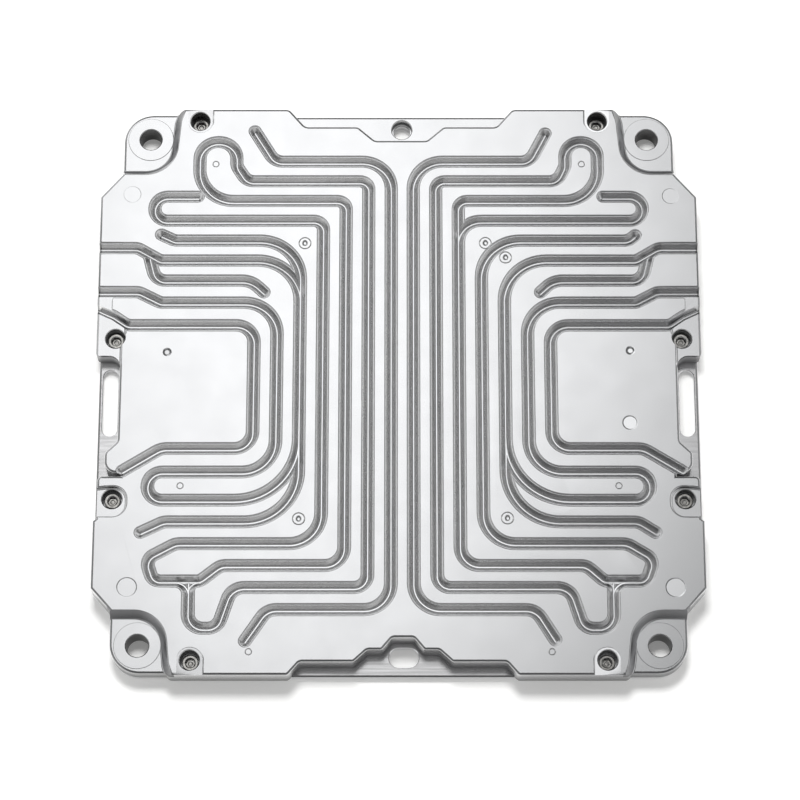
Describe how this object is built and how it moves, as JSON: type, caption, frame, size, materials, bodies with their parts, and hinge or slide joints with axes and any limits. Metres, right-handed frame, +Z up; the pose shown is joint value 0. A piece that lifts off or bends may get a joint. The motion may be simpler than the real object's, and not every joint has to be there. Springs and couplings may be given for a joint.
{
  "type": "battery cooling plate",
  "caption": "Flat cast cooling plate with serpentine surface grooves, bolted to a thin base plate with corner holes and side windows.",
  "frame": {"origin": "under the middle of the whole plate, on the surface that it lies on", "axes": "+Z up out of the grooved face, +X across the plate, +Y from the front edge with the slot to the back edge with the locating hole"},
  "size_m": [0.3654, 0.3588, 0.02],
  "materials": {
    "cast_aluminium": "satin, lightly machined",
    "plate_aluminium": "satin, rolled",
    "seal_rubber": "matt",
    "screw_steel": "zinc plated"
  },
  "bodies": {
    "root": {"channel_plate": "cast_aluminium", "base_plate": "plate_aluminium", "perimeter_seal": "seal_rubber", "cap_screws": "screw_steel"}
  },
  "joints": []
}
